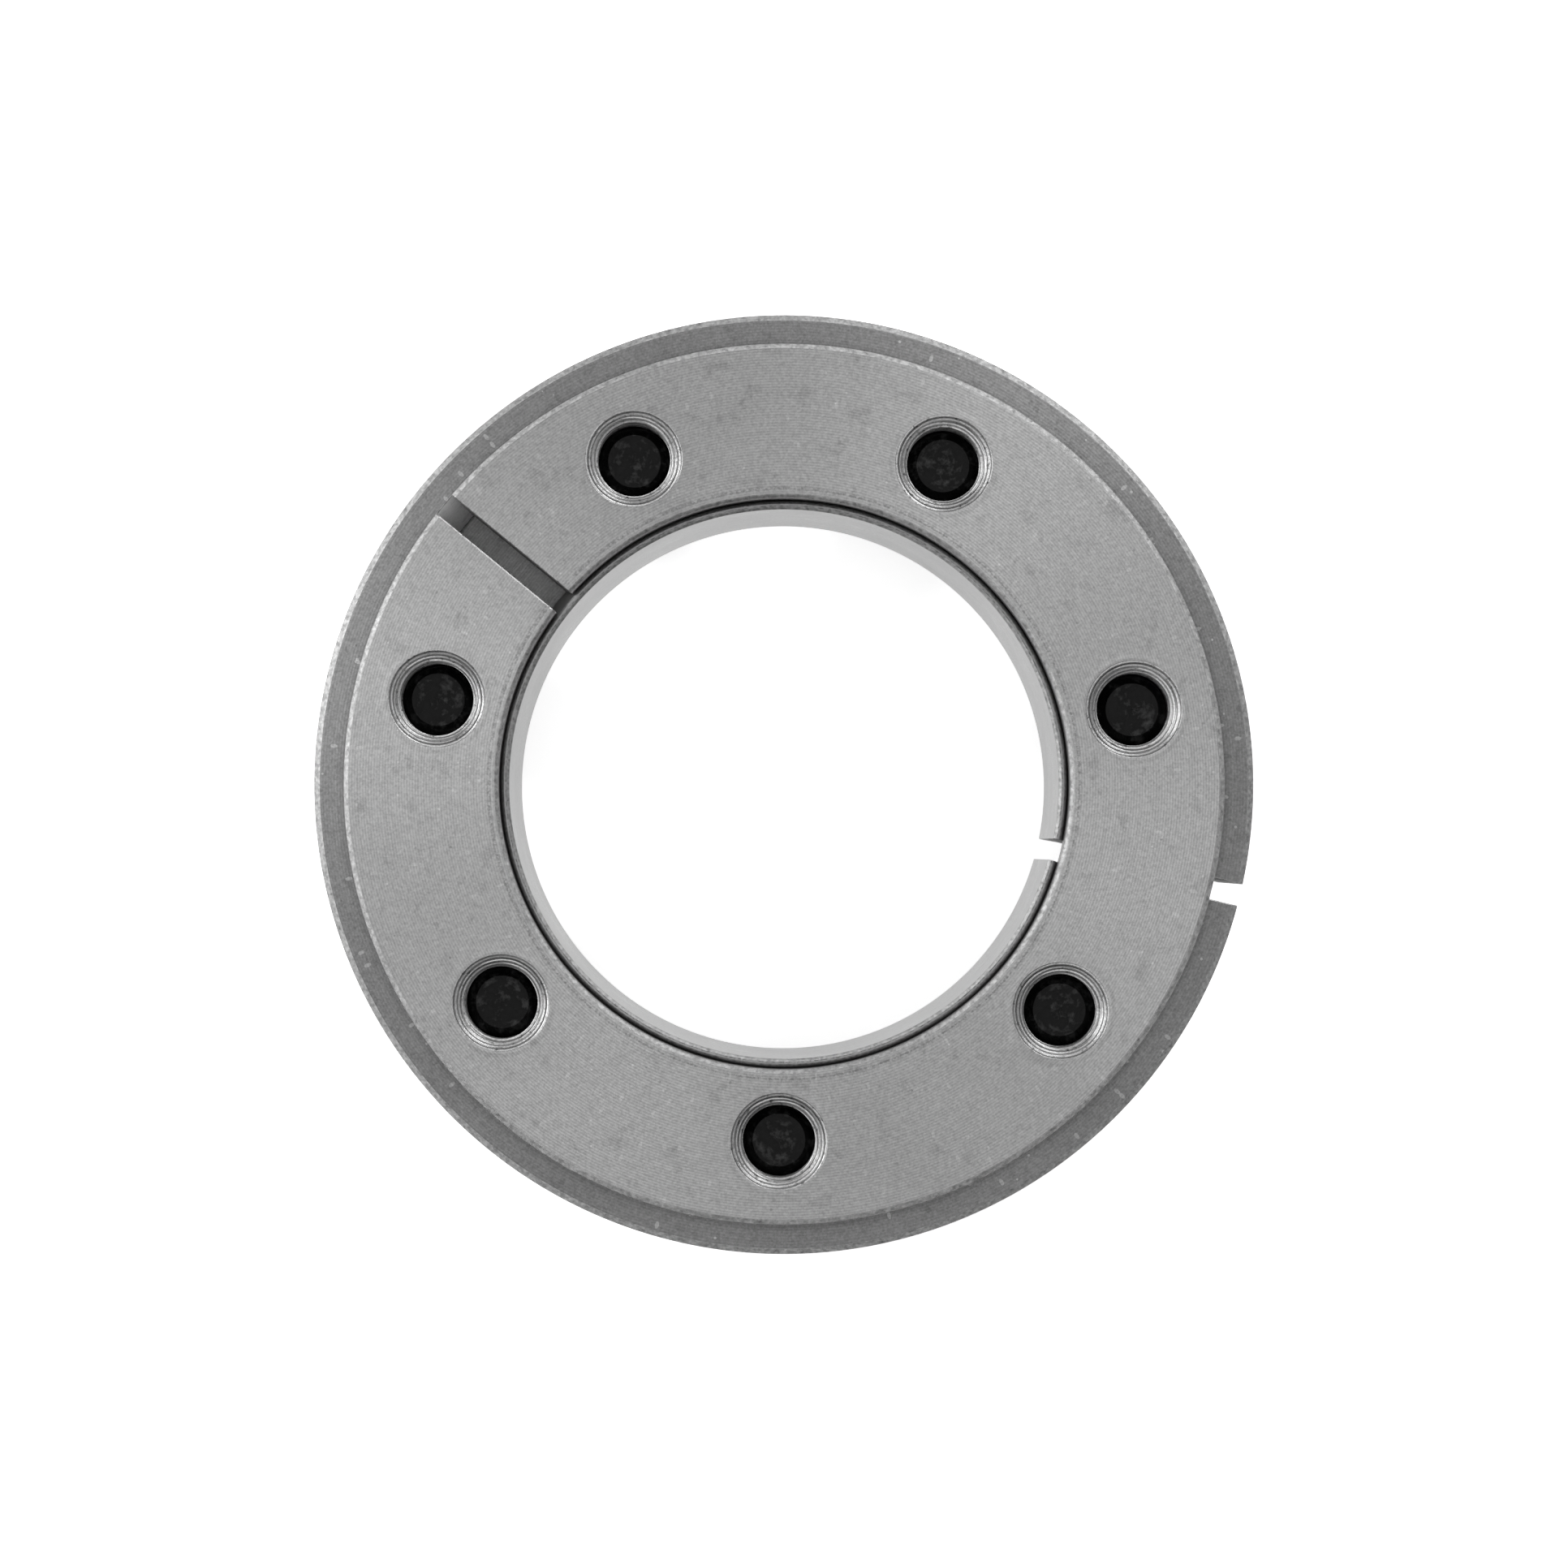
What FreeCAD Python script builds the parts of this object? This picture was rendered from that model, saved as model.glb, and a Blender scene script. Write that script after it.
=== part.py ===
import FreeCAD, Part
import math
import os

# Keyless locking set that clamps a hub on a plain shaft: an outer and an inner ring, each slit once and
# tapered from both ends towards a ridge at mid width, and two wedge-shaped pressure rings between them,
# drawn together by a circle of cap screws.
# Z is the shaft's axis. The set stands on its screw heads at Z = 0, with the threaded rear ring on top, as
# it is delivered: the front cones seated, the rear ring backed off a little.
# Millimetres and degrees.

# Bore and radial walls, from the shaft outwards
shaft_d = 38.0
lip_wall = 0.5
inner_web = 0.68
outer_web = 1.38
mouth_wall = 2.105

# Widths along the axis
ring_width = 17.0
seated_stand = 0.86
nose_gap = 1.1

# Cones
taper_angle = 8.0
seat_gap = 0.03
loose_gap = 0.15
rim_relief = 0.1

# Cap screws with a metric coarse thread
screw_count = 7
screw_d = 6.0
screw_pitch = 1.0
hole_gap = 0.3
tip_recess = 2.0
tip_chamfer = 0.36
thread_runout = 0.2
head_overhang = 2.0
head_edge = 0.5
socket_across_flats = 5.0
socket_depth = 3.1
socket_chamfer = 0.3
socket_point_angle = 120.0

# Edges and countersinks
hub_edge = 0.4
bore_edge = 0.1
face_outer_edge = 0.4
face_inner_edge = 0.15
countersink_wall = 0.8
hole_edge = 0.3

# Slits, seen from above and counted from +X
ring_slit_width = 1.5
ring_slit_angle = -13.7
pressure_slit_width = 1.65
rear_slit_angle = 140.6
front_slit_steps = 4

# How far a cutting tool runs past the piece it cuts
overrun = 1.0

# Share of the pitch by which an external metric thread's core is smaller than its outside
core_share = 1.2269

# Fractions used below
slope = math.tan(math.radians(taper_angle))
ridge_rise = ring_width / 2.0 * slope
pressure_width = (ring_width + 2.0 * seated_stand - nose_gap) / 2.0
nose_fall = (pressure_width - seated_stand) * slope

# Radii
shaft_r = shaft_d / 2.0
screw_r = screw_d / 2.0
core_r = (screw_d - core_share * screw_pitch) / 2.0
tapped_r = (screw_d - screw_pitch) / 2.0
clearance_r = screw_r + hole_gap
lip_r = shaft_r + lip_wall
pitch_r = lip_r + nose_fall + inner_web + clearance_r
mouth_r = pitch_r + clearance_r + outer_web + nose_fall
hub_r = mouth_r + mouth_wall
rim_outer_r = mouth_r - rim_relief
rim_inner_r = lip_r + rim_relief
head_r = screw_r + head_overhang

# Heights above the plane on which the heads stand; a cap screw's head is as high as its thread is wide
head_height = screw_d
front_stand = seated_stand + seat_gap / slope
rear_stand = seated_stand + loose_gap / slope
front_face_z = head_height
ring_foot_z = front_face_z + front_stand
ring_top_z = ring_foot_z + ring_width
rear_face_z = ring_top_z + rear_stand
screw_tip_z = rear_face_z - tip_recess
rear_nose_z = rear_face_z - pressure_width
thread_start_z = rear_nose_z - loose_gap / slope - thread_runout

# Angles
hole_step = 360.0 / screw_count
first_hole_angle = rear_slit_angle - hole_step / 2.0
front_slit_angle = rear_slit_angle + front_slit_steps * hole_step


def turned(profile):
    """Turn a closed profile of (radius, height) points about Z into a solid."""
    points = [FreeCAD.Vector(radius, 0.0, height) for radius, height in profile]
    face = Part.Face(Part.makePolygon(points + [points[0]]))
    return face.revolve(FreeCAD.Vector(0, 0, 0), FreeCAD.Vector(0, 0, 1), 360.0)


def slit(ring, width, angle):
    """Saw a ring through once, along the radius at the given angle."""
    reach = ring.BoundBox.XMax + overrun
    height = ring.BoundBox.ZLength + 2.0 * overrun
    start = FreeCAD.Vector(0.0, -width / 2.0, ring.BoundBox.ZMin - overrun)
    blade = Part.makeBox(reach, width, height, start)
    blade.rotate(FreeCAD.Vector(0, 0, 0), FreeCAD.Vector(0, 0, 1), angle)
    return ring.cut(blade)


def hole_places():
    """Return the centres of the screws, at height zero."""
    places = []
    for index in range(screw_count):
        angle = math.radians(first_hole_angle - index * hole_step)
        places.append(FreeCAD.Vector(pitch_r * math.cos(angle), pitch_r * math.sin(angle), 0.0))
    return places


def drilled(ring, cutter):
    """Take the cutter, drawn about Z, out of the ring at each screw."""
    tools = []
    for place in hole_places():
        tool = cutter.copy()
        tool.translate(place)
        tools.append(tool)
    return ring.cut(Part.makeCompound(tools))


def outer_ring():
    """Ring that grips the hub, thickest at its ridge."""
    ridge_r = mouth_r - ridge_rise
    ridge_z = ring_foot_z + ring_width / 2.0
    profile = [
        (mouth_r, ring_foot_z),
        (hub_r - hub_edge, ring_foot_z),
        (hub_r, ring_foot_z + hub_edge),
        (hub_r, ring_top_z - hub_edge),
        (hub_r - hub_edge, ring_top_z),
        (mouth_r, ring_top_z),
        (ridge_r, ridge_z),
    ]
    return slit(turned(profile), ring_slit_width, ring_slit_angle)


def inner_ring():
    """Thin ring that grips the shaft, with its ridge outwards."""
    ridge_r = lip_r + ridge_rise
    ridge_z = ring_foot_z + ring_width / 2.0
    profile = [
        (shaft_r + bore_edge, ring_foot_z),
        (lip_r, ring_foot_z),
        (ridge_r, ridge_z),
        (lip_r, ring_top_z),
        (shaft_r + bore_edge, ring_top_z),
        (shaft_r, ring_top_z - bore_edge),
        (shaft_r, ring_foot_z + bore_edge),
    ]
    return slit(turned(profile), ring_slit_width, ring_slit_angle)


def pressure_ring(face_z, inward):
    """Wedge ring with its flat face at face_z; inward is 1 where its nose points up and -1 where down."""
    cone_start = seated_stand + rim_relief / slope
    nose_outer_r = mouth_r - nose_fall
    nose_inner_r = lip_r + nose_fall
    depths = [
        (rim_outer_r - face_outer_edge, 0.0),
        (rim_outer_r, face_outer_edge),
        (rim_outer_r, cone_start),
        (nose_outer_r, pressure_width),
        (nose_inner_r, pressure_width),
        (rim_inner_r, cone_start),
        (rim_inner_r, face_inner_edge),
        (rim_inner_r + face_inner_edge, 0.0),
    ]
    return turned([(radius, face_z + inward * depth) for radius, depth in depths])


def hole_cutter(face_z, inward, radius, mouth):
    """Hole of the given radius from the flat face inwards, with a 45 degree countersink that wide."""
    depths = [
        (0.0, -overrun),
        (radius + mouth + overrun, -overrun),
        (radius, mouth),
        (radius, pressure_width + overrun),
        (0.0, pressure_width + overrun),
    ]
    return turned([(reach, face_z + inward * depth) for reach, depth in depths])


def front_pressure_ring():
    """Pressure ring under the screw heads, with clearance holes."""
    ring = pressure_ring(front_face_z, 1.0)
    ring = drilled(ring, hole_cutter(front_face_z, 1.0, clearance_r, hole_edge))
    return slit(ring, pressure_slit_width, front_slit_angle)


def rear_pressure_ring():
    """Pressure ring that the screws pull, with countersunk tapped holes drawn at their drilled size."""
    ring = pressure_ring(rear_face_z, -1.0)
    ring = drilled(ring, hole_cutter(rear_face_z, -1.0, tapped_r, countersink_wall))
    return slit(ring, pressure_slit_width, rear_slit_angle)


def socket_cutter():
    """Hexagon socket open at height zero, with a drilled point and a chamfered mouth."""
    corner_r = socket_across_flats / math.sqrt(3.0)
    corners = []
    for index in range(6):
        angle = math.radians(60.0 * index)
        corners.append(FreeCAD.Vector(corner_r * math.cos(angle), corner_r * math.sin(angle), -overrun))
    hexagon = Part.Face(Part.makePolygon(corners + [corners[0]]))
    prism = hexagon.extrude(FreeCAD.Vector(0.0, 0.0, socket_depth + overrun))
    flat_r = socket_across_flats / 2.0
    point_depth = flat_r / math.tan(math.radians(socket_point_angle / 2.0))
    point = Part.makeCone(flat_r, 0.0, point_depth, FreeCAD.Vector(0.0, 0.0, socket_depth))
    open_r = corner_r + socket_chamfer + overrun
    mouth = Part.makeCone(open_r, 0.0, open_r, FreeCAD.Vector(0.0, 0.0, -overrun))
    return prism.fuse([point, mouth])


def clamping_screw():
    """Cap screw about Z, drawn at its outside up to the tapped ring and at its thread's core in it."""
    profile = [
        (0.0, 0.0),
        (head_r - head_edge, 0.0),
        (head_r, head_edge),
        (head_r, head_height),
        (screw_r, head_height),
        (screw_r, thread_start_z),
        (core_r, thread_start_z),
        (core_r, screw_tip_z - tip_chamfer),
        (core_r - tip_chamfer, screw_tip_z),
        (0.0, screw_tip_z),
    ]
    return turned(profile).cut(socket_cutter())


def main():
    """Write each piece to its own file."""
    os.makedirs("parts", exist_ok=True)
    pieces = {
        "outer_ring": outer_ring(),
        "inner_ring": inner_ring(),
        "front_pressure_ring": front_pressure_ring(),
        "rear_pressure_ring": rear_pressure_ring(),
    }
    screw = clamping_screw()
    for number, place in enumerate(hole_places(), start=1):
        turned_screw = screw.copy()
        turned_screw.translate(place)
        pieces["clamping_screw_%d" % number] = turned_screw
    for name, shape in pieces.items():
        shape.exportStep("parts/%s.step" % name)


main()
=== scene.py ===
"""Looks of a keyless locking set: two slit taper rings, two slit pressure rings and seven cap screws.

Every length in the classes is in millimetres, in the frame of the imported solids: +Z is the shaft's axis, the
screw heads stand on Z = 0, and the rear pressure ring with its tapped holes is on top. One pixel of the
photograph is 0.056 mm wide on the rear face, which says how fine a pattern can be and still show.
"""

import logging
import math
from dataclasses import dataclass
from enum import Enum, IntEnum

import bmesh
import bpy
from mathutils import Matrix, Vector


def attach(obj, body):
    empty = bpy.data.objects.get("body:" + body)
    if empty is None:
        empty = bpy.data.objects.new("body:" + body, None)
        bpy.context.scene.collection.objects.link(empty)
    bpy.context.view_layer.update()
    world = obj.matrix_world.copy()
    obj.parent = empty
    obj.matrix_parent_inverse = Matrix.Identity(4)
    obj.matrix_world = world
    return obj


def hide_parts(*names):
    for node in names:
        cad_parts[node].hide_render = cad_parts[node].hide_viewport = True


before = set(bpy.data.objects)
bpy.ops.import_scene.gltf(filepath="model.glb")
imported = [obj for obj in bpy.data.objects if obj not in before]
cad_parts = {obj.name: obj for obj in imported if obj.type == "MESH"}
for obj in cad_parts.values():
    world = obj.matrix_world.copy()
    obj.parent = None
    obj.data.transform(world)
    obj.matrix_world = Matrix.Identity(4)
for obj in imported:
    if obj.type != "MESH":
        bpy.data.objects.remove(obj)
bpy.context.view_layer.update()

LOG = logging.getLogger("locking_set")
Socket = bpy.types.NodeSocket
Value = Socket | float

MM = 0.001
FULL_TURN = 2.0 * math.pi

# Screw holes, counted clockwise from the one that follows the rear ring's slit, seen from above; the circle,
# the slit and the rings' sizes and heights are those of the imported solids
HOLE_COUNT = 7
HOLE_CIRCLE_R = 24.5973
HOLE_STEP = FULL_TURN / HOLE_COUNT
REAR_SLIT_ANGLE = 140.6
FIRST_HOLE = math.radians(REAR_SLIT_ANGLE) - HOLE_STEP / 2.0

# Vertices that are nearer to each other than this are one vertex
MERGE_DISTANCE = 1e-4

# Share of a face's normal along the axis from which on the face is an end and not an edge
FLAT_TILT = 0.97

# Width of the burr beside a sawn wall, as a share of the rounding on the ring's edges
BURR_SHARE = 1.5

# Range that holds most values of one noise, and of the sum of two
NOISE_LOW, NOISE_HIGH = 0.3, 0.7
SUM_LOW, SUM_HIGH = 0.7, 1.3

# A scratch from handling: its length over its width, and half its width as a share of its cell
NICK_STRETCH = 2.4
NICK_SIZE = 0.13

# Turn of the tangent, as a share of a full one, that spreads a highlight across the tool's marks
ACROSS_MARKS = 0.25

# How far outside a hole's mouth the swell round it is highest
SWELL_OUT = 0.2


def linear_colour(code: str) -> tuple[float, float, float, float]:
    """Turn an sRGB hex colour into the linear values that a shader socket takes.

    Args:
        code: Six hex digits, such as "8C8B89".

    Returns:
        Linear red, green, blue and an alpha of one.
    """
    parts = []
    for start in (0, 2, 4):
        value = int(code[start:start + 2], 16) / 255.0
        # The sRGB curve is a straight line near black and a power above it.
        parts.append(value / 12.92 if value <= 0.04045 else ((value + 0.055) / 1.055) ** 2.4)
    return (parts[0], parts[1], parts[2], 1.0)


def add_node(
        tree: bpy.types.NodeTree, kind: str, settings: dict | None = None,
        links: dict | None = None) -> bpy.types.Node:
    """Add a node with its settings and what feeds it.

    Args:
        tree: The node tree that takes the node.
        kind: The node's type, such as "ShaderNodeMath".
        settings: Node attributes by name, or socket values by the socket's name or number.
        links: Output sockets by the name or number of the input that they feed.

    Returns:
        The new node.
    """
    node = tree.nodes.new(kind)
    for key, value in (settings or {}).items():
        if isinstance(key, str) and hasattr(node, key):
            setattr(node, key, value)
        else:
            node.inputs[key].default_value = value
    for key, source in (links or {}).items():
        tree.links.new(source, node.inputs[key])
    return node


def empty_tree(owner: bpy.types.Material | bpy.types.World) -> bpy.types.NodeTree:
    """Give a material or a world a node tree with nothing in it.

    Args:
        owner: The material or the world.

    Returns:
        Its empty node tree.
    """
    owner.use_nodes = True
    owner.node_tree.nodes.clear()
    return owner.node_tree


def add_object(name: str, data: bpy.types.ID) -> bpy.types.Object:
    """Make an object from its data and put it in the scene.

    Args:
        name: The object's name.
        data: Its mesh, lamp or camera.

    Returns:
        The new object.
    """
    thing = bpy.data.objects.new(name, data)
    bpy.context.scene.collection.objects.link(thing)
    return thing


def settled(mesh: bmesh.types.BMesh, name: str) -> bpy.types.Mesh:
    """Turn a mesh under work into mesh data, and free it.

    Args:
        mesh: The mesh under work.
        name: The data's name.

    Returns:
        The mesh data.
    """
    data = bpy.data.meshes.new(name)
    mesh.to_mesh(data)
    mesh.free()
    return data


def hole_centre(index: int) -> Vector:
    """Return a screw hole's centre at height zero."""
    angle = FIRST_HOLE - index * HOLE_STEP
    return Vector((HOLE_CIRCLE_R * math.cos(angle), HOLE_CIRCLE_R * math.sin(angle), 0.0))


class Lay(Enum):
    """The axis that a cutting tool's marks run round."""

    RING = "round the set's axis"
    HOLE = "round the nearest screw hole's axis"


class Carving(Enum):
    """What an exact Boolean does with its tool."""

    CUT = "DIFFERENCE"
    JOIN = "UNION"


class Skin(IntEnum):
    """Material slots that every ring has, in order."""

    FACED = 0
    GROUND = 1
    SAWN = 2
    DRILLED = 3
    TAPER = 4
    TUMBLED = 5


class PatternSpace:
    """Coordinates in millimetres that a finish draws its marks in, worked out from Object coordinates."""

    def __init__(self, tree: bpy.types.NodeTree, lay: Lay) -> None:
        """Add the nodes that every pattern of this material reads.

        Args:
            tree: The material's node tree.
            lay: The axis that the marks run round.
        """
        self.tree = tree
        place = add_node(tree, "ShaderNodeTexCoord").outputs["Object"]
        scaled = add_node(tree, "ShaderNodeVectorMath", {"operation": "SCALE", "Scale": 1.0 / MM}, {0: place})
        self.place = scaled.outputs[0]
        split = add_node(tree, "ShaderNodeSeparateXYZ", links={0: self.place})
        self.height = split.outputs["Z"]
        across, up = split.outputs["X"], split.outputs["Y"]
        if lay is Lay.HOLE:
            across, up = self._about_hole(across, up)
        flat = add_node(tree, "ShaderNodeCombineXYZ", links={"X": across, "Y": up})
        length = add_node(tree, "ShaderNodeVectorMath", {"operation": "LENGTH"}, {0: flat.outputs[0]})
        self.radius = length.outputs["Value"]
        self.angle = self.math("ARCTAN2", up, across)

    def _about_hole(self, across: Socket, up: Socket) -> tuple[Socket, Socket]:
        """Fold the ring into one sector, and measure from that sector's hole.

        Args:
            across: Place along X in millimetres.
            up: Place along Y in millimetres.

        Returns:
            The two coordinates from the nearest hole's centre.
        """
        flat = add_node(self.tree, "ShaderNodeCombineXYZ", links={"X": across, "Y": up})
        reach = add_node(self.tree, "ShaderNodeVectorMath", {"operation": "LENGTH"}, {0: flat.outputs[0]})
        turned = self.math("SUBTRACT", self.math("ARCTAN2", up, across), FIRST_HOLE)
        folded = self.math("WRAP", turned, HOLE_STEP / 2.0, -HOLE_STEP / 2.0)
        along = self.math("MULTIPLY", reach.outputs["Value"], self.math("COSINE", folded))
        side = self.math("MULTIPLY", reach.outputs["Value"], self.math("SINE", folded))
        return self.math("SUBTRACT", along, HOLE_CIRCLE_R), side

    def math(
            self, operation: str, first: Value, second: Value | None = None,
            third: Value | None = None) -> Socket:
        """Join sockets or numbers by one Math node.

        Args:
            operation: The Math node's operation.
            first: Socket or number.
            second: Socket or number, if the operation takes two.
            third: Socket or number, if the operation takes three.

        Returns:
            The node's output socket.
        """
        settings, links = {"operation": operation}, {}
        for index, value in enumerate((first, second, third)):
            if isinstance(value, (int, float)):
                settings[index] = value
            elif value is not None:
                links[index] = value
        return add_node(self.tree, "ShaderNodeMath", settings, links).outputs[0]

    def marks(self, pitch: float, wander: float = 0.35) -> Socket:
        """Draw tool marks that run round the axis, fine across it and long along it.

        Args:
            pitch: Mean distance between marks, in millimetres.
            wander: How fast the marks change along their length, per radian.

        Returns:
            The marks' strength from 0 to 1.
        """
        spread = self.math("DIVIDE", self.math("ADD", self.radius, self.height), pitch)
        place = add_node(self.tree, "ShaderNodeCombineXYZ", links={
            "X": spread,
            "Y": self.math("MULTIPLY", self.math("COSINE", self.angle), wander),
            "Z": self.math("MULTIPLY", self.math("SINE", self.angle), wander)})
        noise = add_node(
            self.tree, "ShaderNodeTexNoise", {"Scale": 1.0, "Detail": 3.0, "Roughness": 0.6},
            {"Vector": place.outputs[0]})
        return noise.outputs["Fac"]

    def feed(self, pitch: float) -> Socket:
        """Draw the even spiral that a facing tool leaves as it feeds across the work.

        Args:
            pitch: Feed of the tool for one turn, in millimetres.

        Returns:
            The spiral's height from 0 to 1.
        """
        phase = self.math("MULTIPLY_ADD", self.radius, FULL_TURN / pitch, self.angle)
        return self.math("MULTIPLY_ADD", self.math("SINE", phase), 0.5, 0.5)

    def collar(self, radius: float, half: float) -> Socket:
        """Draw a low ring about the axis, such as the swell that a countersink pushes up.

        Args:
            radius: Radius of its middle, in millimetres.
            half: Half its width.

        Returns:
            1 on the ring's middle, falling to 0 at its sides.
        """
        away = self.math("ABSOLUTE", self.math("SUBTRACT", self.radius, radius))
        return self.stretch(away, 0.0, half, 1.0, 0.0)

    def cloud(self, size: float, detail: float = 3.0, roughness: float = 0.55) -> Socket:
        """Draw blotches of a size in millimetres that run no special way.

        Args:
            size: Mean size of a blotch.
            detail: Noise detail.
            roughness: Noise roughness.

        Returns:
            The blotches' strength from 0 to 1.
        """
        noise = add_node(
            self.tree, "ShaderNodeTexNoise",
            {"Scale": 1.0 / size, "Detail": detail, "Roughness": roughness}, {"Vector": self.place})
        return noise.outputs["Fac"]

    def ragged_patches(self, size: float, start: float, full: float, outside_value: float, patch_value: float) -> Socket:
        """Draw ragged patches: smudges of oil and grime, and the crumbs of a painted dark ring.

        Args:
            size: Mean size of a patch, in millimetres.
            start: Noise strength at which a patch starts.
            full: Noise strength from which on it is full.
            outside_value: The value between the patches.
            patch_value: The value on a full patch.

        Returns:
            The value's socket.
        """
        return self.stretch(self.cloud(size, detail=4.0, roughness=0.7), start, full, outside_value, patch_value)

    def specks(self, spacing: float, size: float, share: float) -> Socket:
        """Scatter small round specks.

        Args:
            spacing: Mean distance between the specks' cells, in millimetres.
            size: Radius of a speck as a share of its cell.
            share: Share of the cells that hold a speck.

        Returns:
            1 on a speck and 0 between them.
        """
        cells = add_node(
            self.tree, "ShaderNodeTexVoronoi", {"feature": "F1", "Scale": 1.0 / spacing, "Randomness": 1.0},
            {"Vector": self.place})
        return self._in_cells(cells, size, share)

    def nicks(self, spacing: float, share: float) -> Socket:
        """Scatter short scratches that run across the tool's marks.

        Args:
            spacing: Mean distance between their cells round a ring, in millimetres.
            share: Share of the cells that hold a scratch.

        Returns:
            1 on a scratch and 0 between them.
        """
        along = self.math("DIVIDE", self.math("ADD", self.radius, self.height), NICK_STRETCH * spacing)
        place = add_node(self.tree, "ShaderNodeCombineXYZ", links={
            "X": self.math("MULTIPLY", self.angle, HOLE_CIRCLE_R / spacing), "Y": along})
        cells = add_node(
            self.tree, "ShaderNodeTexVoronoi",
            {"voronoi_dimensions": "2D", "feature": "F1", "Scale": 1.0, "Randomness": 1.0},
            {"Vector": place.outputs[0]})
        return self._in_cells(cells, NICK_SIZE, share)

    def _in_cells(self, cells: bpy.types.Node, size: float, share: float) -> Socket:
        """Mark the middle of some of a Voronoi pattern's cells.

        Args:
            cells: The pattern's node.
            size: Radius of a mark as a share of its cell.
            share: Share of the cells that hold a mark.

        Returns:
            1 on a mark and 0 between them.
        """
        near = self.math("LESS_THAN", cells.outputs["Distance"], size)
        pick = add_node(self.tree, "ShaderNodeSeparateColor", links={0: cells.outputs["Color"]})
        return self.math("MULTIPLY", near, self.math("LESS_THAN", pick.outputs[0], share))

    def swing(self, source: Socket, reach: float) -> Socket:
        """Turn a noise strength into a factor that swings about one.

        Args:
            source: The strength's socket.
            reach: How far the factor swings each way.

        Returns:
            The factor's socket.
        """
        return self.stretch(source, NOISE_LOW, NOISE_HIGH, 1.0 - reach, 1.0 + reach)

    def stretch(self, source: Socket, low: float, high: float, to_low: float, to_high: float) -> Socket:
        """Stretch a strength from one range to another.

        Args:
            source: The strength's socket.
            low: Where the range starts.
            high: Where it ends.
            to_low: What the start becomes.
            to_high: What the end becomes.

        Returns:
            The stretched strength's socket.
        """
        node = add_node(
            self.tree, "ShaderNodeMapRange",
            {"From Min": low, "From Max": high, "To Min": to_low, "To Max": to_high}, {"Value": source})
        return node.outputs[0]


@dataclass(frozen=True)
class Specks:
    """One kind of small spot.

    Attributes:
        spread: Factor on the finish's spacing of its spots.
        size: Radius of a spot as a share of its cell.
        share: Share of the cells that hold a spot.
    """

    spread: float
    size: float
    share: float


CHIPS = Specks(spread=1.0, size=0.12, share=0.16)
PITS = Specks(spread=1.37, size=0.10, share=0.14)


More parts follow.
